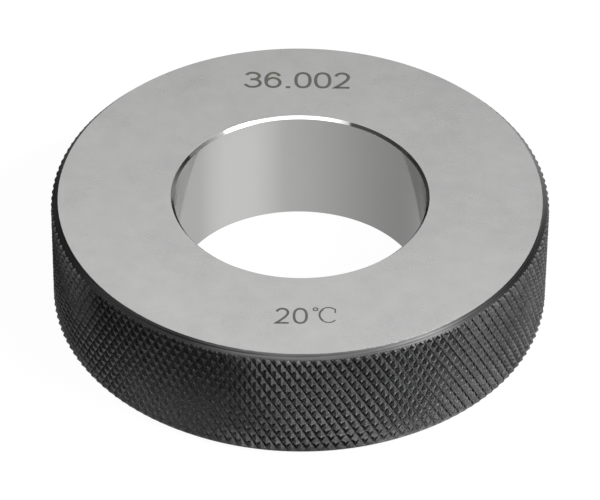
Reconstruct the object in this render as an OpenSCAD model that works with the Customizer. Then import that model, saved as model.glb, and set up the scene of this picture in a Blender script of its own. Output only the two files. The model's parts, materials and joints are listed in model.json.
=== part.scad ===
// Plain setting ring gauge: one hardened steel ring with a lapped bore, two ground
// faces, blackened chamfers and a blackened diamond knurl all round the rim.
// Millimetres. The bore's axis is Z, and the ring lies on its lower face at Z = 0.

/* [Ring] */
// Outside diameter over the crests of the knurl
ring_d = 71; // [60:0.5:76]
// Width between the two ground faces
ring_w = 18; // [10:0.5:20]
// Leg of the 45 degree chamfers between the rim and the faces
rim_chamfer = 1; // [0.7:0.1:2]

/* [Bore] */
// Diameter of the lapped gauge bore
bore_d = 36.002; // [25:0.001:50]
// Leg of the 45 degree chamfers at both mouths of the bore
bore_chamfer = 0.4; // [0.2:0.1:1]

/* [Knurl] */
// Distance between neighbouring grooves, measured square to the grooves
knurl_pitch = 1.21; // [1.2:0.01:2]
// Angle between the grooves and the axis of the bore
knurl_angle = 30; // [22:1:35]
// Depth of the grooves below the crests
knurl_depth = 0.45; // [0.2:0.05:0.6]

/* [Hidden] */

// Finish of the faces and the bore, and of the chamfers and the knurl
bright_steel = "silver";
black_oxide = "#2b2b2d";
// How far the tool that makes a surface runs past the metal that it leaves
run_out = 2;

ring_r = ring_d / 2;
bore_r = bore_d / 2;

// Left-hand and right-hand grooves cross each other and leave rows of pyramids. Along a
// row, the crest of a pyramid and a crossing of two grooves take turns, and from one row
// to the next they change places.
crests = round(PI * ring_d * cos(knurl_angle) / knurl_pitch);
steps = 2 * crests;
row_gap = PI * ring_d / steps / tan(knurl_angle);
// The knurled bar is a little longer than the ring is wide, and centred on it
rows = ceil(ring_w / row_gap + 0.2);
bar_z = (ring_w - rows * row_gap) / 2;

// Number of the bar's vertex at one step round one row
function vertex(row, step) = row * steps + step % steps;

// True where a vertex lies at a crossing of two grooves, and false on a crest
function crossing(row, step) = (row + step) % 2 == 1;

// What grinding the faces and lapping the bore leave, with the mouths chamfered
module ground_and_lapped() {
    rotate_extrude($fn = 180)
        polygon([
            [bore_r, bore_chamfer],
            [bore_r + bore_chamfer, 0],
            [ring_r + run_out, 0],
            [ring_r + run_out, ring_w],
            [bore_r + bore_chamfer, ring_w],
            [bore_r, ring_w - bore_chamfer],
        ]);
}

// What turning both rim chamfers leaves: two cones that meet outside the rim
module chamfered_ends() {
    face_r = ring_r - rim_chamfer;
    rotate_extrude($fn = 180)
        polygon([
            [0, -run_out],
            [face_r - run_out, -run_out],
            [face_r + ring_w / 2, ring_w / 2],
            [face_r - run_out, ring_w + run_out],
            [0, ring_w + run_out],
        ]);
}

// A solid bar with the diamond knurl all the way along it
module knurled_bar() {
    points = [
        for (row = [0:rows], step = [0:steps - 1])
            let (
                r = crossing(row, step) ? ring_r - knurl_depth : ring_r,
                a = 360 * step / steps
            )
            [r * cos(a), r * sin(a), bar_z + row * row_gap]
    ];
    // Two flanks fill the square between neighbouring rows and steps. They meet at the
    // bottom of a groove, which runs from one crossing to the other.
    flanks = [
        for (row = [0:rows - 1], step = [0:steps - 1])
            let (
                a = vertex(row, step),
                b = vertex(row, step + 1),
                c = vertex(row + 1, step + 1),
                d = vertex(row + 1, step)
            )
            each (crossing(row, step) ? [[a, c, b], [a, d, c]] : [[a, d, b], [b, d, c]])
    ];
    ends = [
        [for (step = [0:steps - 1]) vertex(0, step)],
        [for (step = [steps - 1:-1:0]) vertex(rows, step)],
    ];
    polyhedron(points, concat(flanks, ends));
}

// The whole gauge. The knurl and the chamfers keep their black finish, and grinding and
// lapping bring back the bright steel.
module setting_ring() {
    intersection() {
        color(bright_steel) ground_and_lapped();
        color(black_oxide) chamfered_ends();
        color(black_oxide) knurled_bar();
    }
}

setting_ring();
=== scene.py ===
"""A setting ring gauge of hardened steel, lying on the floor of a white studio.

The ring is turned, knurled, blackened, ground and lapped here in the order of the workshop:
a blank is spun from its section, the knurl is laid out tooth by tooth and cut to the blank,
and the marks are etched into the upper face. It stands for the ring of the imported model.
"""

import json
import math
from functools import partial

import bmesh
import bpy
from bpy.props import FloatProperty, FloatVectorProperty, IntProperty, PointerProperty, StringProperty
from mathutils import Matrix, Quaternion, Vector


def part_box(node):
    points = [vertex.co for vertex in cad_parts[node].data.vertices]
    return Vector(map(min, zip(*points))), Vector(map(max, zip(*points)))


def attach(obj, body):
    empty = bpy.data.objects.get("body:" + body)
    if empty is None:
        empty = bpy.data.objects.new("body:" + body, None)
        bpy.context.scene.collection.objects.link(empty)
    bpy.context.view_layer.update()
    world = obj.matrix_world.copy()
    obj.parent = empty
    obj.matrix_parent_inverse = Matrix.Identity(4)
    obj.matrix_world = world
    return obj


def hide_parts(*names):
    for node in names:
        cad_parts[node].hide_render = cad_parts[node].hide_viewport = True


bl_info = {
    "name": "Setting Ring Gauge",
    "version": (1, 0, 0),
    "blender": (4, 5, 0),
    "location": "View3D > Sidebar > Ring Gauge",
    "description": "A knurled setting ring gauge with etched marks, and the white studio it lies in",
    "category": "Object",
}

MM = 0.001
# Corners nearer to each other than this are one
WELD = 0.001 * MM
NODE = "setting_ring"
SURFACES = ("ground", "lapped", "turned", "knurled", "etched")
LAYERS = ("first strokes", "second strokes")

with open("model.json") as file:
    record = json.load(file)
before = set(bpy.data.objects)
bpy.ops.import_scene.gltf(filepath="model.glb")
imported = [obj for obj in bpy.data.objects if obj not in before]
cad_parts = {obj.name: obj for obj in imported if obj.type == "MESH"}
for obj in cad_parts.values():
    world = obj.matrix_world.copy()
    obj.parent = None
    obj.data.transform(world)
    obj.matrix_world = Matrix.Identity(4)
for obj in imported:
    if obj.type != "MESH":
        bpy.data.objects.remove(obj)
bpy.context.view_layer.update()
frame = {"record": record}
LOW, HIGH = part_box(NODE)
BORE = next(m for m in frame["record"]["mounts"] if m["name"] == "gauge_bore")["dims"]
RING_WIDTH = HIGH.z - LOW.z
MOUTH_CHAMFER = (RING_WIDTH - BORE["length_mm"] * MM) / 2

Length = partial(FloatProperty, subtype="DISTANCE", unit="LENGTH")
Angle = partial(FloatProperty, subtype="ANGLE", unit="ROTATION")
Colour = partial(FloatVectorProperty, subtype="COLOR", min=0, max=1)


class RingSizes(bpy.types.PropertyGroup):
    """The turned, ground and lapped surfaces of the ring"""

    diameter: Length(
        name="Diameter",
        description="Outside diameter over the crests of the knurl",
        default=HIGH.x - LOW.x,
        min=60 * MM, max=76 * MM,
    )
    width: Length(
        name="Width",
        description="Width between the two ground faces",
        default=RING_WIDTH,
        min=10 * MM, max=20 * MM,
    )
    bore: Length(
        name="Bore",
        description="Diameter of the lapped gauge bore, which is also the size mark",
        default=2 * BORE["r_mm"] * MM,
        min=25 * MM, max=50 * MM,
        precision=6,
    )
    rim_chamfer: Length(
        name="Rim Chamfer",
        description="Leg of the chamfers between the rim and the faces",
        default=1 * MM,
        min=0.7 * MM, max=2 * MM,
    )
    mouth_chamfer: Length(
        name="Mouth Chamfer",
        description="Leg of the chamfers at both mouths of the bore",
        default=MOUTH_CHAMFER,
        min=0.2 * MM, max=1 * MM,
    )
    broken_edge: Length(
        name="Broken Edge",
        description="How far each turned edge is stoned back on both its sides",
        default=0.02 * MM,
        min=0.01 * MM, max=0.1 * MM,
    )
    divisions: IntProperty(
        name="Divisions",
        description="Number of flats that stand for one turn of the round surfaces",
        default=480,
        min=96, max=1440,
    )


class KnurlSizes(bpy.types.PropertyGroup):
    """The diamond knurl, as the wheels that roll it are ordered"""

    pitch: Length(
        name="Pitch",
        description="Distance between neighbouring grooves, measured square to them",
        default=1.21 * MM,
        min=0.8 * MM, max=2 * MM,
    )
    angle: Angle(
        name="Angle",
        description="Angle between the grooves and the axis of the bore",
        default=math.radians(30),
        min=math.radians(22), max=math.radians(35),
    )
    depth: Length(
        name="Depth",
        description="Depth below the crests of the grooves that fall to the right",
        default=0.36 * MM,
        min=0.2 * MM, max=0.6 * MM,
    )
    rising_depth: Length(
        name="Rising Depth",
        description="Depth below the crests of the grooves that rise to the right",
        default=0.31 * MM,
        min=0.1 * MM, max=0.6 * MM,
    )
    floor: Length(
        name="Groove Floor",
        description="Width of the flat at the bottom of a groove that falls to the right",
        default=0.12 * MM,
        min=0.02 * MM, max=0.3 * MM,
    )
    crest: Length(
        name="Crest",
        description="Distance from the middle of a tooth at which its flanks begin to round over",
        default=0.15 * MM,
        min=0.02 * MM, max=0.3 * MM,
    )
    start: Angle(
        name="Start",
        description="Turn of the pattern round the axis, from where the knurling wheels first bit",
        default=math.radians(-0.42),
    )
    lift: Length(
        name="Lift",
        description="Height of the middle row of teeth above the middle of the rim",
        default=0.46 * MM,
        min=-0.6 * MM, max=0.6 * MM,
    )


class MarkSizes(bpy.types.PropertyGroup):
    """The marks that are etched into the upper face"""

    size_height: Length(
        name="Size Mark Height",
        description="Height of the digits that give the size of the bore",
        default=3.9 * MM,
        min=2 * MM, max=6 * MM,
    )
    size_pen: Length(
        name="Size Mark Pen",
        description="Width of a stroke of the size mark",
        default=0.49 * MM,
        min=0.1 * MM, max=1 * MM,
    )
    temperature: StringProperty(
        name="Temperature",
        description="Reference temperature in degrees, at which the bore has its size",
        default="20",
    )
    temperature_height: Length(
        name="Temperature Mark Height",
        description="Height of the digits that give the reference temperature",
        default=3.4 * MM,
        min=2 * MM, max=6 * MM,
    )
    temperature_pen: Length(
        name="Temperature Mark Pen",
        description="Width of a stroke of the temperature's digits",
        default=0.38 * MM,
        min=0.1 * MM, max=1 * MM,
    )
    unit_pen: Length(
        name="Unit Pen",
        description="Width of a stroke of the degree sign and its letter",
        default=0.22 * MM,
        min=0.05 * MM, max=0.6 * MM,
    )
    depth: Length(
        name="Etch Depth",
        description="Depth of the marks below the ground face",
        default=0.02 * MM,
        min=0.005 * MM, max=0.1 * MM,
    )


class Finishes(bpy.types.PropertyGroup):
    """The colours of the finished surfaces"""

    ground: Colour(
        name="Ground Steel",
        description="Colour of the two ground faces",
        default=(0.5, 0.499, 0.496),
    )
    lapped: Colour(
        name="Lapped Steel",
        description="Colour of the bore and its mouth chamfers",
        default=(0.5, 0.5, 0.495),
    )
    oxide: Colour(
        name="Black Oxide",
        description="Colour of the blackened knurl and rim chamfers",
        default=(0.09, 0.09, 0.09),
    )
    worn: Colour(
        name="Worn Oxide",
        description="Colour of the crests and edges where the black is rubbed thin",
        default=(0.2, 0.2, 0.2),
    )
    etched: Colour(
        name="Etched Steel",
        description="Colour of the marks",
        default=(0.125, 0.125, 0.108),
    )


class StudioSettings(bpy.types.PropertyGroup):
    """The camera and the light of the studio"""

    lens: FloatProperty(
        name="Lens",
        description="Focal length of the camera in millimetres",
        default=282.3,
        min=50, max=600,
    )
    distance: Length(
        name="Distance",
        description="From the camera to the point it aims at",
        default=676 * MM,
        min=0.2, max=3,
    )
    elevation: Angle(
        name="Elevation",
        description="Angle of the camera above the floor",
        default=math.radians(39.61),
        min=0, max=math.radians(90),
    )
    roll: Angle(
        name="Roll",
        description="Turn of the camera about its own line of sight",
        default=math.radians(0.545),
    )
    aim: FloatVectorProperty(
        name="Aim",
        description="Point that the camera looks at",
        default=(0.04 * MM, 0, 7.85 * MM),
        subtype="TRANSLATION",
        unit="LENGTH",
    )
    floor: Colour(
        name="Floor",
        description="Colour of the studio floor",
        default=(0.93, 0.93, 0.93),
    )
    white: FloatProperty(
        name="White",
        description="Brightness of the floor's own white, where 1 is white",
        default=1.04,
        min=0, max=2,
    )
    glow: FloatProperty(
        name="Glow",
        description="Share of the floor's own white over its lit colour, to the eye",
        default=0.92,
        min=0, max=1,
        subtype="FACTOR",
    )
    hole: FloatProperty(
        name="Glow under the Bore",
        description="Brightness of the light under the bore, which only polished metal sees",
        default=0.9,
        min=0, max=2,
    )
    ambient: FloatProperty(
        name="Ambient",
        description="Brightness of the light that comes from all round, where 1 is white",
        default=0.2,
        min=0, max=2,
    )


def add(tree, kind, inputs=None, **settings):
    """A new node of a kind in a tree. Inputs are set, or linked where a socket is given"""
    node = tree.nodes.new(kind)
    for name, value in settings.items():
        setattr(node, name, value)
    for key, value in (inputs or {}).items():
        give(tree, node.inputs[key], value)
    return node


def give(tree, socket, value):
    """Sets a socket, or links it where the value is another node's output"""
    if isinstance(value, bpy.types.NodeSocket):
        tree.links.new(value, socket)
    else:
        socket.default_value = value


def calc(tree, operation, *values):
    """The result of a Math node"""
    return add(tree, "ShaderNodeMath", dict(enumerate(values)), operation=operation).outputs[0]


def largest(tree, value, *others):
    """The largest of some values"""
    for other in others:
        value = calc(tree, "MAXIMUM", value, other)
    return value


def remap(tree, value, low, high, to_low=0.0, to_high=1.0):
    """A value carried from one range to another, and held inside it"""
    inputs = {"Value": value, "From Min": low, "From Max": high, "To Min": to_low, "To Max": to_high}
    return add(tree, "ShaderNodeMapRange", inputs).outputs["Result"]


def noise(tree, place, scale, detail, roughness=0.5):
    """The tone of a noise, with its size in patches per metre"""
    values = {"Vector": place, "Scale": scale, "Detail": detail, "Roughness": roughness}
    return add(tree, "ShaderNodeTexNoise", values).outputs["Fac"]


def blend(tree, factor, first, second, how="MIX"):
    """A colour between two colours, or the first worked on by the second"""
    node = add(tree, "ShaderNodeMix", data_type="RGBA", blend_type=how)
    for key, value in (("Factor_Float", factor), ("A_Color", first), ("B_Color", second)):
        socket = next(s for s in node.inputs if s.identifier == key)
        give(tree, socket, value)
    return next(s for s in node.outputs if s.identifier == "Result_Color")


def opaque(colour, share=1.0):
    """A colour with full alpha, for a node's socket, or a share of its brightness"""
    return (*(share * part for part in colour[:3]), 1.0)


def new_group(name, kind, inputs, outputs):
    """An empty node group, with what each of its sockets holds. Returns it with both its ends"""
    tree = bpy.data.node_groups.new(name, kind)
    for side, sockets in (("INPUT", inputs), ("OUTPUT", outputs)):
        for label, holds in sockets.items():
            tree.interface.new_socket(label, in_out=side, socket_type="NodeSocket" + holds)
    return tree, tree.nodes.new("NodeGroupInput"), tree.nodes.new("NodeGroupOutput")


def cloud_group():
    """Soft patches of tone at two sizes"""
    tree, into, out = new_group(
        "Clouds",
        "ShaderNodeTree",
        {"Place": "Vector", "Patches per Metre": "Float", "Contrast": "Float"},
        {"Tone": "Float"},
    )
    given = into.outputs
    wide = noise(tree, given["Place"], given["Patches per Metre"], 3.0)
    smaller = calc(tree, "MULTIPLY", given["Patches per Metre"], 5.3)
    close = noise(tree, given["Place"], smaller, 4.0, 0.6)
    both = calc(tree, "MULTIPLY_ADD", wide, 0.6, calc(tree, "MULTIPLY", close, 0.4))
    centred = calc(tree, "SUBTRACT", both, 0.5)
    tone = calc(tree, "MULTIPLY_ADD", centred, given["Contrast"], 0.5)
    tree.links.new(tone, out.inputs["Tone"])


def scratch_group():
    """Short fine scratches that run three ways, as lapping and handling leave them"""
    tree, into, out = new_group(
        "Fine Scratches",
        "ShaderNodeTree",
        {"Place": "Vector", "Scratches per Metre": "Float", "Length": "Float", "Share": "Float"},
        {"Mask": "Float"},
    )
    given = into.outputs
    lines = []
    for turn, shift in ((0.12, 0.0), (-0.55, 3.7), (1.25, 8.1)):
        turned = {"Vector": given["Place"], "Angle": turn}
        turned = add(tree, "ShaderNodeVectorRotate", turned, rotation_type="Z_AXIS").outputs[0]
        parts = parts_of(tree, turned)
        along = calc(tree, "DIVIDE", parts["X"], given["Length"])
        drawn = add(tree, "ShaderNodeCombineXYZ", {0: along, 1: parts["Y"], 2: shift}).outputs[0]
        streaks = noise(tree, drawn, given["Scratches per Metre"], 2.0)
        least = remap(tree, given["Share"], 0.0, 1.0, 0.82, 0.52)
        most = calc(tree, "ADD", least, 0.06)
        lines.append(remap(tree, streaks, least, most))
    tree.links.new(largest(tree, *lines), out.inputs["Mask"])


def tool_line_group():
    """Fine lines that a tool or a lap leaves square to its feed, and that fade along their run"""
    tree, into, out = new_group(
        "Tool Lines",
        "ShaderNodeTree",
        {"Across": "Float", "Place": "Vector", "Lines per Metre": "Float"},
        {"Height": "Float"},
    )
    given = into.outputs
    row = add(tree, "ShaderNodeCombineXYZ", {2: given["Across"]}).outputs[0]
    slow = (0.01, 0.01, 0)
    drift = {0: given["Place"], 1: slow, 2: row}
    place = add(tree, "ShaderNodeVectorMath", drift, operation="MULTIPLY_ADD").outputs[0]
    height = noise(tree, place, given["Lines per Metre"], 3.0, 0.7)
    tree.links.new(height, out.inputs["Height"])


def wear_group():
    """Bright specks where an edge or a crest is rubbed, and more of them where it stands out"""
    tree, into, out = new_group(
        "Rubbed Specks",
        "ShaderNodeTree",
        {"Place": "Vector", "Exposure": "Float", "Specks per Metre": "Float"},
        {"Mask": "Float"},
    )
    given = into.outputs
    specks = noise(tree, given["Place"], given["Specks per Metre"], 3.0)
    rubbed = calc(tree, "MULTIPLY_ADD", given["Exposure"], 0.5, specks)
    tree.links.new(remap(tree, rubbed, 0.72, 1.02), out.inputs["Mask"])


def parts_of(tree, place):
    """The three parts of a place or a direction, by axis"""
    return add(tree, "ShaderNodeSeparateXYZ", {0: place}).outputs


def effect(tree, group, place, values):
    """A shared effect, placed in a material with its own values"""
    inputs = {"Place": place, **values}
    return add(tree, "ShaderNodeGroup", inputs, node_tree=bpy.data.node_groups[group]).outputs[0]


def new_finish(name, constants):
    """A material with plain values on its own shader. Returns it with its tree, shader and place"""
    material = bpy.data.materials.new(name)
    material.use_nodes = True
    tree = material.node_tree
    shader = tree.nodes["Principled BSDF"]
    for key, value in constants.items():
        shader.inputs[key].default_value = value
    place = add(tree, "ShaderNodeTexCoord").outputs["Object"]
    return material, tree, shader, place


def dress(tree, shader, colour, tone, smooth, dull):
    """Feeds a colour to the shader, and a roughness that a tone carries from smooth to dull"""
    tree.links.new(colour, shader.inputs["Base Color"])
    tree.links.new(calc(tree, "MULTIPLY_ADD", tone, dull - smooth, smooth), shader.inputs["Roughness"])


def draw_out(tree, shader, amount):
    """Draws the highlights out square to lines that run round the ring, as on a turned part"""
    shader.inputs["Anisotropic"].default_value = amount
    shader.inputs["Anisotropic Rotation"].default_value = 0.25
    round_ring = add(tree, "ShaderNodeTangent", direction_type="RADIAL", axis="Z")
    tree.links.new(round_ring.outputs[0], shader.inputs["Tangent"])


def bump(tree, shader, height, unit):
    """Feeds a height to the shader's normal, in a unit given in metres"""
    raised = add(tree, "ShaderNodeBump", {"Height": height, "Distance": unit})
    tree.links.new(raised.outputs[0], shader.inputs["Normal"])


def off_middle(tree, place, ring):
    """Distances from the axis of the ring and from the middle of its width, in metres"""
    parts = parts_of(tree, place)
    squares = [calc(tree, "POWER", parts[axis], 2) for axis in ("X", "Y")]
    radius = calc(tree, "SQRT", calc(tree, "ADD", *squares))
    height = calc(tree, "ABSOLUTE", calc(tree, "SUBTRACT", parts["Z"], ring.width / 2))
    return radius, height


def ground_finish(finishes):
    """Ground and lapped flat: satin, with clouds, short scratches and a breath of warm tint"""
    material, tree, shader, place = new_finish("Ground steel", {"Metallic": 1.0})
    clouds = effect(tree, "Clouds", place, {"Patches per Metre": 70.0, "Contrast": 1.6})
    patches = effect(tree, "Clouds", place, {"Patches per Metre": 320.0, "Contrast": 1.5})
    tone = calc(tree, "MULTIPLY_ADD", calc(tree, "ADD", clouds, patches), 0.16, 0.84)
    scratches = {"Scratches per Metre": 900.0, "Length": 16.0, "Share": 0.2}
    scratches = effect(tree, "Fine Scratches", place, scratches)
    tone = calc(tree, "MULTIPLY_ADD", scratches, 0.05, tone)
    grey = add(tree, "ShaderNodeCombineColor", {0: tone, 1: tone, 2: tone}).outputs[0]
    colour = blend(tree, 1.0, opaque(finishes.ground), grey, "MULTIPLY")
    dress(tree, shader, colour, clouds, 0.24, 0.32)
    grain = noise(tree, place, 5200.0, 3.0)
    height = calc(tree, "MULTIPLY_ADD", scratches, -0.5, grain)
    bump(tree, shader, height, 0.00012 * MM)
    return material


def lapped_finish(finishes):
    """Lapped to a mirror: bright, with the finest lines of the lap round the bore"""
    material, tree, shader, place = new_finish("Lapped steel", {"Metallic": 1.0})
    parts = parts_of(tree, place)
    lines = effect(tree, "Tool Lines", place, {"Across": parts["Z"], "Lines per Metre": 2600.0})
    clouds = effect(tree, "Clouds", place, {"Patches per Metre": 130.0, "Contrast": 1.2})
    shade = calc(tree, "MULTIPLY_ADD", clouds, 0.4, 0.2)
    colour = blend(tree, shade, opaque(finishes.lapped), opaque(finishes.lapped, 0.88))
    dress(tree, shader, colour, clouds, 0.09, 0.14)
    draw_out(tree, shader, 0.85)
    bump(tree, shader, lines, 0.0006 * MM)
    return material


def turned_finish(ring, finishes):
    """Turned and blackened: fine tool lines round the chamfer, rubbed along its two edges"""
    material, tree, shader, place = new_finish("Blackened turning", {"Metallic": 1.0})
    radius, height = off_middle(tree, place, ring)
    across = calc(tree, "SUBTRACT", radius, height)
    lines = effect(tree, "Tool Lines", place, {"Across": across, "Lines per Metre": 4200.0})
    edge = remap(tree, height, ring.width / 2 - 0.12 * MM, ring.width / 2)
    specks = effect(tree, "Rubbed Specks", place, {"Exposure": edge, "Specks per Metre": 900.0})
    clouds = effect(tree, "Clouds", place, {"Patches per Metre": 240.0, "Contrast": 1.5})
    shade = calc(tree, "MULTIPLY_ADD", lines, 3.6, calc(tree, "MULTIPLY_ADD", clouds, 0.4, -1.5))
    colour = blend(tree, shade, opaque(finishes.oxide, 0.4), opaque(finishes.oxide, 1.4))
    colour = blend(tree, specks, colour, opaque(finishes.worn))
    dress(tree, shader, colour, lines, 0.3, 0.5)
    draw_out(tree, shader, 0.8)
    bump(tree, shader, lines, 0.003 * MM)
    return material


def knurled_finish(ring, finishes):
    """Rolled and blackened: a pressed, slightly grainy black that is rubbed on the crests"""
    constants = {"Metallic": 0.97, "Specular Tint": opaque((0.35, 0.35, 0.35))}
    material, tree, shader, place = new_finish("Blackened knurl", constants)
    radius, height = off_middle(tree, place, ring)
    crest = remap(tree, radius, ring.diameter / 2 - 0.1 * MM, ring.diameter / 2)
    cut = remap(tree, height, ring.width / 2 - 1.5 * MM, ring.width / 2 - 0.9 * MM, 0.0, 0.8)
    exposure = calc(tree, "MAXIMUM", crest, cut)
    specks = effect(tree, "Rubbed Specks", place, {"Exposure": exposure, "Specks per Metre": 1500.0})
    clouds = effect(tree, "Clouds", place, {"Patches per Metre": 420.0, "Contrast": 1.6})
    grain = noise(tree, place, 3600.0, 4.0)
    shade = calc(tree, "MULTIPLY_ADD", grain, 3.0, calc(tree, "MULTIPLY_ADD", clouds, 0.6, -1.3))
    colour = blend(tree, shade, opaque(finishes.oxide, 0.6), opaque(finishes.oxide, 1.5))
    colour = blend(tree, specks, colour, opaque(finishes.worn))
    dress(tree, shader, colour, clouds, 0.1, 0.22)
    bump(tree, shader, grain, 0.01 * MM)
    return material


def etched_finish(finishes):
    """Etched: a dull, warm, finely pitted grey"""
    material, tree, shader, place = new_finish("Etched steel", {"Metallic": 0.6, "Roughness": 0.55})
    clouds = effect(tree, "Clouds", place, {"Patches per Metre": 900.0, "Contrast": 1.5})
    colour = blend(tree, clouds, opaque(finishes.etched, 0.8), opaque(finishes.etched, 1.35))
    tree.links.new(colour, shader.inputs["Base Color"])
    grain = noise(tree, place, 9000.0, 3.0)
    bump(tree, shader, grain, 0.004 * MM)
    return material


def mix_finishes(ring, finishes):
    """All finishes of the ring, by name"""
    for make in (cloud_group, scratch_group, tool_line_group, wear_group):
        make()
    return {
        "ground": ground_finish(finishes),
        "lapped": lapped_finish(finishes),
        "turned": turned_finish(ring, finishes),
        "knurled": knurled_finish(ring, finishes),
        "etched": etched_finish(finishes),
    }


def new_piece(name, mesh):
    """A mesh, a lamp or the camera, as an object of the scene"""
    piece = bpy.data.objects.new(name, mesh)
    bpy.context.scene.collection.objects.link(piece)
    return piece


def mesh_of(name, build, surface=0):
    """A mesh that a function builds, with its faces pointing outwards. Each face keeps the number
    of the surface that it belongs to, which is the one given where the function names no other"""
    form = bmesh.new()
    belongs = form.faces.layers.int.new("surface")
    build(form)
    for face in form.faces:
        face[belongs] = face.material_index or surface
        face.material_index = 0
    bmesh.ops.recalc_face_normals(form, faces=form.faces)
    mesh = bpy.data.meshes.new(name)
    form.to_mesh(mesh)
    form.free()
    return mesh


def eased_corners(corners, ease):
    """A closed section with each corner cut back a little on both its sides. A stretch of the
    section keeps the surface that its first corner names, and the small cut takes it too"""
    eased = []
    for i, (corner, surface) in enumerate(corners):
        before, after = Vector(corners[i - 1][0]), Vector(corners[(i + 1) % len(corners)][0])
        here = Vector(corner)
        from_before = here + (before - here).normalized() * ease
        to_after = here + (after - here).normalized() * ease
        eased += [(from_before, surface), (to_after, surface)]
    return eased


def spin_blank(ring):
    """The blank as it is turned, ground and lapped. Its rim chamfers run on past the knurl"""
    rim, bore = ring.diameter / 2, ring.bore / 2
    face, mouth, run_out = rim - ring.rim_chamfer, bore + ring.mouth_chamfer, 1 * MM
    top = ring.width
    corners = [
        ((bore, ring.mouth_chamfer), "lapped"),
        ((mouth, 0), "ground"),
        ((face, 0), "turned"),
        ((rim + run_out, ring.rim_chamfer + run_out), "turned"),
        ((rim + run_out, top - ring.rim_chamfer - run_out), "turned"),
        ((face, top), "ground"),
        ((mouth, top), "lapped"),
        ((bore, top - ring.mouth_chamfer), "lapped"),
    ]
    section = eased_corners(corners, ring.broken_edge)

    def build(form):
        turns = []
        for i in range(ring.divisions):
            angle = 2 * math.pi * i / ring.divisions
            turn = Vector((math.cos(angle), math.sin(angle), 0))
            turns.append([form.verts.new(turn * p.x + Vector((0, 0, p.y))) for p, _ in section])
        for i, here in enumerate(turns):
            there = turns[(i + 1) % len(turns)]
            for k, (_, surface) in enumerate(section):
                after = (k + 1) % len(section)
                side = form.faces.new((here[k], there[k], there[after], here[after]))
                side.material_index = SURFACES.index(surface)

    return mesh_of("blank", build)


def diamond(falling, rising, angle):
    """Corners of a diamond whose sides lie at two distances from its middle: those along the
    grooves that fall to the right, and those along the grooves that rise to the right"""
    wide, narrow = (falling + rising) / 2 / math.cos(angle), (falling - rising) / 2 / math.cos(angle)
    tall, short = (falling + rising) / 2 / math.sin(angle), (falling - rising) / 2 / math.sin(angle)
    return ((wide, short), (narrow, tall), (-wide, -short), (-narrow, -tall))


def roll_tooth(knurl, width):
    """One tooth of the knurl on a flat strip: a pyramid on a diamond with a rounded crest. Y is its
    height, and the crest is at 0. The sides reach the middles of the grooves, and a groove that
    rises to the right is shallower, so that its bottom hangs between the floors of the others"""
    half = width / 2 * math.cos(knurl.angle)
    foot = half - knurl.floor / 2
    steep = knurl.depth / (foot - knurl.crest / 2)
    shallow = knurl.rising_depth / (half - knurl.crest / 2)

    def reach(drop, slope):
        rounded = math.sqrt(2 * knurl.crest * drop / slope)
        return rounded if rounded < knurl.crest else drop / slope + knurl.crest / 2

    levels = [(half, half, knurl.depth), (foot, half, knurl.depth)]
    levels.append((reach(knurl.rising_depth, steep), half, knurl.rising_depth))
    for share in (0.86, 0.3, 0.12, 0.02):
        drop = knurl.rising_depth * share
        levels.append((reach(drop, steep), reach(drop, shallow), drop))

    def build(form):
        rings = []
        for falling, rising, drop in levels:
            corners = diamond(falling, rising, knurl.angle)
            rings.append([form.verts.new((x, -drop, z)) for x, z in corners])
        for k, (low, high) in enumerate(zip(rings, rings[1:])):
            for i in range(4):
                if k > 1 or i % 2 == 0:
                    j = (i + 1) % 4
                    form.faces.new((low[j], low[i], high[i], high[j]))
        form.faces.new(rings[-1])

    return mesh_of("tooth", build, SURFACES.index("knurled"))


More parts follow.
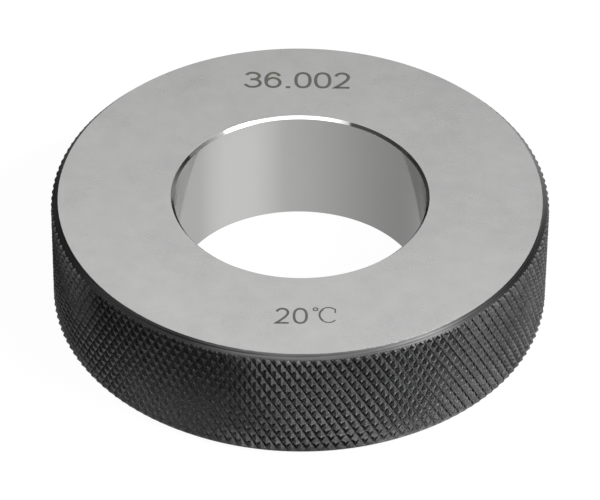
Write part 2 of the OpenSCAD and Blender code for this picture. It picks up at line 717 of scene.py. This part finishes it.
def knurl_tree():
    """Lays the teeth out round the rim, closes the bar and cuts it to the blank and the marks"""
    inputs = {
        "Blank": "Geometry",
        "Tooth": "Object",
        **{layer: "Object" for layer in LAYERS},
        "Teeth per Row": "Int",
        "Rows": "Int",
        "Tooth Width": "Float",
        "Row Gap": "Float",
        "Crest Radius": "Float",
        "Middle Height": "Float",
        "Start": "Float",
        **{surface: "Material" for surface in SURFACES},
    }
    tree, into, out = new_group("Knurled ring", "GeometryNodeTree", inputs, {"Ring": "Geometry"})
    given = into.outputs

    index = add(tree, "GeometryNodeInputIndex").outputs[0]
    row = calc(tree, "FLOOR", calc(tree, "DIVIDE", index, given["Teeth per Row"]))
    step = calc(tree, "MODULO", index, given["Teeth per Row"])
    step = calc(tree, "MULTIPLY_ADD", calc(tree, "MODULO", row, 2), 0.5, step)
    above = calc(tree, "SUBTRACT", row, calc(tree, "DIVIDE", calc(tree, "SUBTRACT", given["Rows"], 1), 2))
    height = calc(tree, "MULTIPLY_ADD", above, given["Row Gap"], given["Middle Height"])
    along = calc(tree, "MULTIPLY", step, given["Tooth Width"])
    place = add(tree, "ShaderNodeCombineXYZ", {"X": along, "Z": height}).outputs[0]
    count = calc(tree, "MULTIPLY", given["Teeth per Row"], given["Rows"])
    points = add(tree, "GeometryNodePoints", {"Count": count, "Position": place}).outputs[0]
    tooth = add(tree, "GeometryNodeObjectInfo", {"Object": given["Tooth"]}).outputs["Geometry"]
    strip = add(tree, "GeometryNodeInstanceOnPoints", {"Points": points, "Instance": tooth}).outputs[0]
    strip = add(tree, "GeometryNodeRealizeInstances", {0: strip}).outputs[0]

    flat = parts_of(tree, add(tree, "GeometryNodeInputPosition").outputs[0])
    angle = calc(tree, "ADD", calc(tree, "DIVIDE", flat["X"], given["Crest Radius"]), given["Start"])
    radius = calc(tree, "ADD", given["Crest Radius"], flat["Y"])
    east = calc(tree, "MULTIPLY", radius, calc(tree, "COSINE", angle))
    north = calc(tree, "MULTIPLY", radius, calc(tree, "SINE", angle))
    round_rim = add(tree, "ShaderNodeCombineXYZ", {"X": east, "Y": north, "Z": flat["Z"]}).outputs[0]
    sleeve = add(tree, "GeometryNodeSetPosition", {"Geometry": strip, "Position": round_rim}).outputs[0]
    sleeve = add(tree, "GeometryNodeMergeByDistance", {"Geometry": sleeve, "Distance": WELD}).outputs[0]

    faces_here = add(tree, "GeometryNodeInputMeshEdgeNeighbors").outputs[0]
    open_edge = add(tree, "FunctionNodeCompare", {2: faces_here, 3: 1}, data_type="INT", operation="EQUAL")
    ends = {"Mesh": sleeve, "Selection": open_edge.outputs[0], "Offset Scale": 0.1 * MM}
    ends = add(tree, "GeometryNodeExtrudeMesh", ends, mode="EDGES").outputs
    side = calc(tree, "SIGN", calc(tree, "SUBTRACT", flat["Z"], given["Middle Height"]))
    reach = calc(tree, "MULTIPLY", given["Rows"], given["Row Gap"])
    tip = calc(tree, "MULTIPLY_ADD", side, reach, given["Middle Height"])
    tip = add(tree, "ShaderNodeCombineXYZ", {"Z": tip}).outputs[0]
    bar = {"Geometry": ends["Mesh"], "Selection": ends["Top"], "Position": tip}
    bar = add(tree, "GeometryNodeSetPosition", bar).outputs[0]
    bar = add(tree, "GeometryNodeMergeByDistance", {"Geometry": bar, "Distance": WELD}).outputs[0]

    cut = add(tree, "GeometryNodeMeshBoolean", operation="INTERSECT", solver="MANIFOLD")
    for solid in (given["Blank"], bar):
        tree.links.new(solid, cut.inputs["Mesh 2"])
    ring = cut.outputs[0]
    for strokes in LAYERS:
        solid = add(tree, "GeometryNodeObjectInfo", {"Object": given[strokes]}).outputs["Geometry"]
        etch = {"Mesh 1": ring, "Mesh 2": solid}
        etch = add(tree, "GeometryNodeMeshBoolean", etch, operation="DIFFERENCE", solver="MANIFOLD")
        ring = etch.outputs[0]

    ring = add(tree, "GeometryNodeRealizeInstances", {0: ring}).outputs[0]
    belongs = add(tree, "GeometryNodeInputNamedAttribute", {"Name": "surface"}, data_type="INT").outputs[0]
    for number, surface in enumerate(SURFACES):
        here = add(tree, "FunctionNodeCompare", {2: belongs, 3: number}, data_type="INT", operation="EQUAL")
        ring = {"Geometry": ring, "Selection": here.outputs[0], "Material": given[surface]}
        ring = add(tree, "GeometryNodeSetMaterial", ring).outputs[0]
    tree.links.new(ring, out.inputs["Ring"])
    return tree


def worked(piece, tree, values):
    """The plain mesh that a node tree makes of a piece, once its named inputs are set"""
    modifier = piece.modifiers.new(tree.name, "NODES")
    modifier.node_group = tree
    sockets = {s.name: s.identifier for s in tree.interface.items_tree if s.in_out == "INPUT"}
    for name, value in values.items():
        modifier[sockets[name]] = value
    evaluated = piece.evaluated_get(bpy.context.evaluated_depsgraph_get())
    mesh = bpy.data.meshes.new_from_object(evaluated)
    piece.modifiers.remove(modifier)
    if not mesh.materials[0]:
        mesh.materials.pop(index=0)
    return mesh


def soften(mesh, ridge=12):
    """Shades a mesh smooth, but sharp at its ridges and where one finish meets another"""
    form = bmesh.new()
    form.from_mesh(mesh)
    bmesh.ops.remove_doubles(form, verts=form.verts, dist=WELD)
    for face in form.faces:
        face.smooth = True
    for edge in form.edges:
        sides = edge.link_faces
        same = len({face.material_index for face in sides}) == 1
        edge.smooth = same and edge.calc_face_angle(0) < math.radians(ridge)
    form.to_mesh(mesh)
    form.free()


def arc(centre, radii, start, end, power=2.0):
    """Points along an oval from one angle to another, in degrees. A power over 2 fills it out"""
    count = max(2, round(abs(end - start) / 7.5))
    points = []
    for i in range(count + 1):
        angle = math.radians(start + (end - start) * i / count)
        across, up = math.cos(angle), math.sin(angle)
        across = math.copysign(abs(across) ** (2 / power), across)
        up = math.copysign(abs(up) ** (2 / power), up)
        points.append((centre[0] + radii[0] * across, centre[1] + radii[1] * up))
    return points


def bend(start, pull, end, count=12):
    """Points along a curve that leaves one point for another and is pulled towards a third"""
    points = []
    for i in range(1, count + 1):
        t = i / count
        weights = ((1 - t) ** 2, 2 * t * (1 - t), t * t)
        points.append(tuple(sum(w * p[k] for w, p in zip(weights, (start, pull, end))) for k in (0, 1)))
    return points


def zero():
    return [(arc((0.5, 0.5), (0.5, 0.5), 0, 360, 2.35)[:-1], True)]


def two():
    bow = arc((0.48, 0.73), (0.45, 0.27), 168, -30)
    return [(bow + bend(bow[-1], (0.78, 0.42), (0, 0)) + [(1, 0)], False)]


def three():
    low = [(0.3, 0.54)] + arc((0.46, 0.27), (0.54, 0.27), 90, -166)
    high = arc((0.46, 0.765), (0.46, 0.235), 164, -90) + [(0.3, 0.53)]
    return [(low, False), (high, False)]


def six():
    bowl = arc((0.51, 0.32), (0.49, 0.32), 0, 360)[:-1]
    stem = arc((0.53, 0.5), (0.53, 0.5), 34, 196)
    return [(bowl, True), (stem, False)]


def degree():
    return [(arc((0.5, 0.5), (0.5, 0.5), 0, 360)[:-1], True)]


def serif_c():
    bow = arc((0.56, 0.5), (0.56, 0.5), 50, 318)
    swell = arc((0.62, 0.5), (0.59, 0.47), 128, 232)
    serif = [(0.97, 0.92), (0.97, 0.64)]
    return [(bow, False), (swell, False), (serif, False)]


GLYPHS = {"0": zero, "2": two, "3": three, "6": six, "°": degree, "C": serif_c}


def ribbon(form, points, pen, closed, floor, top):
    """A solid stroke of the pen along some points, from the floor of the etching to its top"""
    points = [Vector(p) for p in points]
    count = len(points)
    rows = []
    for i, here in enumerate(points):
        before = points[i - 1] if closed or i else None
        after = points[(i + 1) % count] if closed or i + 1 < count else None
        ways = [(b - a).normalized() for a, b in ((before, here), (here, after)) if a and b]
        normals = [Vector((-way.y, way.x)) for way in ways]
        normal = sum(normals, Vector((0, 0))).normalized()
        side = normal * (pen / 2 / max(normal.dot(normals[0]), 0.4))
        places = ((here - side, floor), (here + side, floor), (here + side, top), (here - side, top))
        rows.append([form.verts.new((p.x, p.y, z)) for p, z in places])
    pairs = list(zip(rows, rows[1:]))
    if closed:
        pairs.append((rows[-1], rows[0]))
    else:
        form.faces.new(rows[0])
        form.faces.new(rows[-1])
    for a, b in pairs:
        for k in range(4):
            m = (k + 1) % 4
            form.faces.new((a[k], a[m], b[m], b[k]))


def glyph_strokes(sign, left, base, width, height, pen):
    """The strokes of a sign whose inked box starts at a corner. Those of one layer stay apart"""
    if sign == ".":
        return [([(left, base + pen / 2), (left + width, base + pen / 2)], False)]
    inner = (width - pen, height - pen)
    strokes = []
    for points, closed in GLYPHS[sign]():
        placed = [(left + pen / 2 + x * inner[0], base + pen / 2 + y * inner[1]) for x, y in points]
        strokes.append((placed, closed))
    return strokes


# Shares of a mark's height, for its digits, its point, and its degree sign and letter
DIGIT_WIDTH, DIGIT_STEP = 0.655, 0.741
POINT_STEP = 0.387
POINT_WIDTH, POINT_SHIFT = 0.45 * POINT_STEP, 0.18 * POINT_STEP
DEGREES_WIDTH, DEGREES_STEP = 0.62, 0.72
SIGN_SIZE, SIGN_DROP, LETTER_WIDTH = 0.24, 0.82, 0.735
# How far the marks stand off the middle of the face, from bore to rim, and off the ring's middle
SIZE_OUTWARD, SIZE_LEFTWARD = 0.55 * MM, 0.35 * MM
DEGREES_INWARD, DEGREES_START = 0.28 * MM, -3.34 * MM
UNIT_GAP, LETTER_RISE = 0.3 * MM, 0.25 * MM


def write_marks(ring, marks):
    """Every stroke of both marks, in two layers of strokes that don't touch each other"""
    layers = ([], [])

    def write(sign, left, base, width, height, pen):
        for i, (points, closed) in enumerate(glyph_strokes(sign, left, base, width, height, pen)):
            layers[min(i, 1)].append((points, closed, pen))

    size = f"{ring.bore / MM:.3f}"
    height = marks.size_height
    steps = [height * (POINT_STEP if sign == "." else DIGIT_STEP) for sign in size]
    middle = (ring.diameter / 2 - ring.rim_chamfer + ring.bore / 2) / 2
    left = -sum(steps) / 2 - SIZE_LEFTWARD
    base = middle + SIZE_OUTWARD - height / 2
    for sign, step in zip(size, steps):
        shift, wide = (POINT_SHIFT, POINT_WIDTH) if sign == "." else (0, DIGIT_WIDTH)
        write(sign, left + height * shift, base, height * wide, height, marks.size_pen)
        left += step

    height = marks.temperature_height
    base = -(middle + SIZE_OUTWARD) + DEGREES_INWARD - height / 2
    left = DEGREES_START
    for sign in marks.temperature:
        write(sign, left, base, height * DEGREES_WIDTH, height, marks.temperature_pen)
        left += height * DEGREES_STEP
    left += UNIT_GAP
    small = height * SIGN_SIZE
    write("°", left, base + height - small * SIGN_DROP, small, small, marks.unit_pen)
    write("C", left + small, base + LETTER_RISE, height * LETTER_WIDTH, height, marks.unit_pen)
    return layers


class GAUGE_OT_marks(bpy.types.Operator):
    """Writes the size and the temperature as solid strokes, ready to etch into the face"""

    bl_idname = "gauge.write_marks"
    bl_label = "Write Marks"

    def execute(self, context):
        ring, marks = context.scene.gauge_ring, context.scene.gauge_marks
        floor, top = ring.width - marks.depth, ring.width + 5 * marks.depth
        for name, strokes in zip(LAYERS, write_marks(ring, marks)):

            def build(form):
                for points, closed, pen in strokes:
                    ribbon(form, points, pen, closed, floor, top)

            new_piece(name, mesh_of(name, build, SURFACES.index("etched")))
        return {"FINISHED"}


class GAUGE_OT_ring(bpy.types.Operator):
    """Turns, knurls, blackens, grinds, laps and etches the ring, in place of the plain one"""

    bl_idname = "gauge.make_ring"
    bl_label = "Make Ring"

    def execute(self, context):
        scene = context.scene
        ring, knurl = scene.gauge_ring, scene.gauge_knurl
        finishes = mix_finishes(ring, scene.gauge_finishes)
        blank = new_piece("knurled_ring", spin_blank(ring))
        strokes = {name: bpy.data.objects[name] for name in LAYERS}

        teeth = round(math.pi * ring.diameter * math.cos(knurl.angle) / knurl.pitch)
        width = math.pi * ring.diameter / teeth
        row_gap = width / 2 / math.tan(knurl.angle)
        rows = math.ceil((ring.width + 2 * abs(knurl.lift)) / row_gap) + 1
        tooth = new_piece("tooth", roll_tooth(knurl, width))

        values = {
            "Tooth": tooth,
            **strokes,
            "Teeth per Row": teeth,
            "Rows": rows,
            "Tooth Width": width,
            "Row Gap": row_gap,
            "Crest Radius": ring.diameter / 2,
            "Middle Height": ring.width / 2 + knurl.lift,
            "Start": knurl.start,
            **finishes,
        }
        mesh = worked(blank, knurl_tree(), values)
        soften(mesh)
        for helper in (tooth, *strokes.values()):
            bpy.data.objects.remove(helper)
        blank.data = mesh
        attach(blank, "root")
        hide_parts(NODE)
        return {"FINISHED"}


# Lamps: name, centre and size in metres, radiance, and whether metal shows the lamp
LAMPS = (
    ("overhead softbox", (0.05, -0.5, 0.58), (1.05, 0.4), 1.9, True),
    ("key lamp", (0.49, -0.27, 0.5), (0.24, 0.26), 13, True),
    ("side softbox", (0.62, 0.03, 0.4), (0.4, 0.25), 0.3, True),
    ("floor lamp", (0.55, -0.1, 0.5), (0.14, 0.14), 40, False),
)

# Patches of light in the floor and low in the room, which only polished metal sees: the middle in
# degrees from the camera's side to the right, the cosines of the angle off it at which the patch
# begins and is full, and the brightness outside and inside it
PATCHES = {
    "near spot": (40, 0.89, 0.98, 0.4, 1.5),
    "near left": (-75, 0.6, 0.95, 0.35, 0.9),
    "right": (95, 0.75, 0.93, 0.0, 1.8),
    "front": (10, 0.93, 0.985, 0.0, 1.5),
    "left of front": (-4, 0.8, 0.95, 0.1, 0.4),
    "window": (48, 0.84, 0.93, 0.03, 1.6),
    "back": (160, 0.5, 0.9, 0.0, 1.6),
    "far window": (60, 0.82, 0.93, 0.03, 1.6),
    "far left": (-75, 0.8, 0.97, 0.0, 0.8),
    "far back": (150, 0.5, 0.9, 0.0, 0.35),
    "slope under the bore": (60, -1, 1, 0.5, 1.0),
    "sheen under the bore": (60, 0.7, 0.97, 1.0, 1.25),
}

# Fades on the floor between two distances from the axis, in metres, and what they give at both
SPOT_ENDS = (0.048, 0.06, 1.0, 0.0)
FRONT_ENDS = (0.048, 0.056, 1.0, 0.0)
WINDOW_DIMS = (0.056, 0.064, 1.0, 0.55)
BORE_ENDS = (0.024, 0.03, 1.0, 0.0)
NEAR_ENDS = (0.039, 0.0415)
MIDDLE_ENDS = (0.09, 0.13)
# How much of the right patch is left in the middle zone
RIGHT_SHARE = 0.8

# Fades in the room between two values of a direction's upward, sideways or backward part, and
# what they give at both
CEILING_BEGINS = (0.52, 0.72, 0.0, 1.57)
CEILING_DIMS = (0.82, 0.94, 1.0, 0.62)
UNLIT_LEFT_ENDS = (-0.45, -0.3, 0.06, 1.0)
HORIZON_ENDS = (0.1, 0.35, 1.0, 0.0)
WALL_BEGINS = (0.06, 0.16)
WALL_ENDS = (0.36, 0.46, 1.0, 0.0)
BESIDE = (0.3, 0.5)
BEHIND = (0.05, 0.25)
BELOW_ENDS = (-0.05, 0.0)
# Brightness of the wall and of an unlit part, and reach of the floor in metres
WALL_GLOW = 0.9
DIMMEST = 0.05
FLOOR_REACH = 3.0


def seen_by(tree):
    """1 for the rays of the camera, and 1 for those that polished metal and glass send on"""
    rays = add(tree, "ShaderNodeLightPath").outputs
    return rays["Is Camera Ray"], largest(tree, rays["Is Glossy Ray"], rays["Is Transmission Ray"])


def level(tree, way):
    """A direction laid level with the floor"""
    flat = add(tree, "ShaderNodeVectorMath", {0: way, 1: (1, 1, 0)}, operation="MULTIPLY").outputs[0]
    return add(tree, "ShaderNodeVectorMath", {0: flat}, operation="NORMALIZE").outputs[0]


def patch(tree, flat, name):
    """The brightness that a patch of light has in a level direction"""
    degrees, *fade = PATCHES[name]
    side = (math.sin(math.radians(degrees)), -math.cos(math.radians(degrees)), 0)
    towards = add(tree, "ShaderNodeVectorMath", {0: flat, 1: side}, operation="DOT_PRODUCT")
    return remap(tree, towards.outputs["Value"], *fade)


def swap(tree, factor, first, second):
    """The first value where the factor is 0, and the second where it is 1"""
    return calc(tree, "MULTIPLY_ADD", factor, calc(tree, "SUBTRACT", second, first), first)


def horizon(tree, flat):
    """How bright the far floor and the foot of the room are"""
    return largest(tree, *(patch(tree, flat, name) for name in ("far window", "far left", "far back")))


def floor_light(tree, flat, radius):
    """How bright polished metal sees the floor: in a near, a middle and a far zone round the ring"""
    spot, right = patch(tree, flat, "near spot"), patch(tree, flat, "right")
    near = largest(tree, spot, patch(tree, flat, "near left"), right)
    middle = largest(
        tree,
        calc(tree, "MULTIPLY", patch(tree, flat, "window"), remap(tree, radius, *WINDOW_DIMS)),
        patch(tree, flat, "left of front"),
        calc(tree, "MULTIPLY", spot, remap(tree, radius, *SPOT_ENDS)),
        calc(tree, "MULTIPLY", patch(tree, flat, "front"), remap(tree, radius, *FRONT_ENDS)),
        calc(tree, "MULTIPLY", right, RIGHT_SHARE),
    )
    beyond = swap(tree, remap(tree, radius, *MIDDLE_ENDS), middle, horizon(tree, flat))
    beyond = largest(tree, beyond, patch(tree, flat, "back"))
    return swap(tree, remap(tree, radius, *NEAR_ENDS), near, beyond)


def lay_floor(studio):
    """A wide white floor under the ring. It glows white to the eye and keeps a soft shadow, and
    polished metal sees through it inside the bore, to the light under it"""
    mesh = bpy.data.meshes.new("floor")
    corners = [(x * FLOOR_REACH, y * FLOOR_REACH, 0) for x, y in ((-1, -1), (1, -1), (1, 1), (-1, 1))]
    mesh.from_pydata(corners, [], [(0, 1, 2, 3)])
    floor = new_piece("studio_floor", mesh)
    dull = {"Roughness": 0.9, "Specular IOR Level": 0.0, "Base Color": opaque(studio.floor)}
    material, tree, shader, place = new_finish("Studio floor", dull)
    camera, metal = seen_by(tree)
    radius = add(tree, "ShaderNodeVectorMath", {0: place}, operation="LENGTH").outputs["Value"]
    seen = floor_light(tree, level(tree, place), radius)
    strength = swap(tree, camera, seen, studio.white)
    glow = add(tree, "ShaderNodeEmission", {"Color": opaque((1, 1, 1)), "Strength": strength})
    share = calc(tree, "MULTIPLY_ADD", camera, studio.glow, metal)
    both = add(tree, "ShaderNodeMixShader", {0: share, 1: shader.outputs[0], 2: glow.outputs[0]})
    clear = add(tree, "ShaderNodeBsdfTransparent")
    through = calc(tree, "MULTIPLY", metal, remap(tree, radius, *BORE_ENDS))
    whole = add(tree, "ShaderNodeMixShader", {0: through, 1: both.outputs[0], 2: clear.outputs[0]})
    tree.links.new(whole.outputs[0], tree.nodes["Material Output"].inputs["Surface"])
    mesh.materials.append(material)


def hang_lamp(name, centre, size, radiance, shown):
    """A soft lamp aimed at the ring. Its radiance is what a mirror shows, where 1 is white"""
    lamp = bpy.data.lights.new(name, "AREA")
    lamp.shape = "RECTANGLE"
    lamp.size, lamp.size_y = size
    lamp.energy = radiance * math.pi * size[0] * size[1]
    holder = new_piece(name, lamp)
    holder.location = centre
    holder.rotation_euler = Vector(centre).to_track_quat("Z", "Y").to_euler()
    holder.visible_camera = False
    holder.visible_glossy = shown


def room_light(tree, way, studio):
    """How bright polished metal sees the room in a direction: a ceiling that is unlit on the left,
    the horizon, a wall, and under the floor the light that shows inside the bore"""
    parts = parts_of(tree, way)
    height, flat = parts["Z"], level(tree, way)
    ceiling = remap(tree, parts["X"], *UNLIT_LEFT_ENDS)
    for fade in (CEILING_BEGINS, CEILING_DIMS):
        ceiling = calc(tree, "MULTIPLY", ceiling, remap(tree, height, *fade))
    above = calc(tree, "MULTIPLY_ADD", remap(tree, height, *HORIZON_ENDS), horizon(tree, flat), ceiling)
    above = calc(tree, "ADD", above, DIMMEST)
    aside = remap(tree, calc(tree, "ABSOLUTE", parts["X"]), *BESIDE)
    aside = calc(tree, "MULTIPLY", aside, remap(tree, parts["Y"], *BEHIND))
    wall = calc(tree, "MULTIPLY", remap(tree, height, *WALL_BEGINS), remap(tree, height, *WALL_ENDS))
    wall = calc(tree, "MULTIPLY", wall, remap(tree, aside, 0.0, 1.0, WALL_GLOW, 0.0))
    below = studio.hole
    for name in ("slope under the bore", "sheen under the bore"):
        below = calc(tree, "MULTIPLY", below, patch(tree, flat, name))
    return swap(tree, remap(tree, height, *BELOW_ENDS), below, largest(tree, above, wall))


def light_world(studio):
    """The room: white to the eye, an even light on what is dull, and its own look in polished metal"""
    world = bpy.data.worlds.new("White room")
    bpy.context.scene.world = world
    world.use_nodes = True
    tree = world.node_tree
    tree.nodes.clear()
    way = add(tree, "ShaderNodeTexCoord").outputs["Generated"]
    camera, metal = seen_by(tree)
    strength = swap(tree, metal, studio.ambient, room_light(tree, way, studio))
    strength = calc(tree, "MULTIPLY_ADD", camera, 1.0 - studio.ambient, strength)
    room = add(tree, "ShaderNodeBackground", {"Color": opaque((1, 1, 1)), "Strength": strength})
    out = tree.nodes.new("ShaderNodeOutputWorld")
    tree.links.new(room.outputs[0], out.inputs["Surface"])


def place_camera(studio):
    """The camera, on the near side of the ring and looking down on it"""
    data = bpy.data.cameras.new("camera")
    data.sensor_width = 36
    data.lens = studio.lens
    data.clip_start, data.clip_end = 0.01, 20
    camera = new_piece("camera", data)
    back = Vector((0, -math.cos(studio.elevation), math.sin(studio.elevation)))
    camera.location = Vector(studio.aim) + back * studio.distance
    camera.rotation_mode = "QUATERNION"
    camera.rotation_quaternion = (-back).to_track_quat("-Z", "Y") @ Quaternion((0, 0, 1), studio.roll)
    bpy.context.scene.camera = camera


class GAUGE_OT_studio(bpy.types.Operator):
    """Lays the floor, hangs the lamps and places the camera"""

    bl_idname = "gauge.set_studio"
    bl_label = "Set Studio"

    def execute(self, context):
        studio = context.scene.gauge_studio
        context.scene.view_settings.view_transform = "Standard"
        place_camera(studio)
        light_world(studio)
        lay_floor(studio)
        for lamp in LAMPS:
            hang_lamp(*lamp)
        return {"FINISHED"}


class GAUGE_PT_panel(bpy.types.Panel):
    """The steps of the ring gauge, in order"""

    bl_idname = "GAUGE_PT_panel"
    bl_label = "Setting Ring Gauge"
    bl_space_type = "VIEW_3D"
    bl_region_type = "UI"
    bl_category = "Ring Gauge"

    def draw(self, context):
        for step in OPERATORS:
            self.layout.operator(step.bl_idname)
        for name in SETTINGS:
            box = self.layout.box()
            group = getattr(context.scene, name)
            for key in group.__annotations__:
                box.prop(group, key)


OPERATORS = (GAUGE_OT_marks, GAUGE_OT_ring, GAUGE_OT_studio)
SETTINGS = {
    "gauge_ring": RingSizes,
    "gauge_knurl": KnurlSizes,
    "gauge_marks": MarkSizes,
    "gauge_finishes": Finishes,
    "gauge_studio": StudioSettings,
}


def register():
    for group in (*SETTINGS.values(), *OPERATORS, GAUGE_PT_panel):
        bpy.utils.register_class(group)
    for name, group in SETTINGS.items():
        setattr(bpy.types.Scene, name, PointerProperty(type=group))


def unregister():
    for name in SETTINGS:
        delattr(bpy.types.Scene, name)
    for group in (GAUGE_PT_panel, *reversed(OPERATORS), *reversed(SETTINGS.values())):
        bpy.utils.unregister_class(group)


def main():
    """Makes the gauge and its studio"""
    register()
    bpy.ops.gauge.write_marks()
    bpy.ops.gauge.make_ring()
    bpy.ops.gauge.set_studio()


if __name__ == "__main__":
    main()
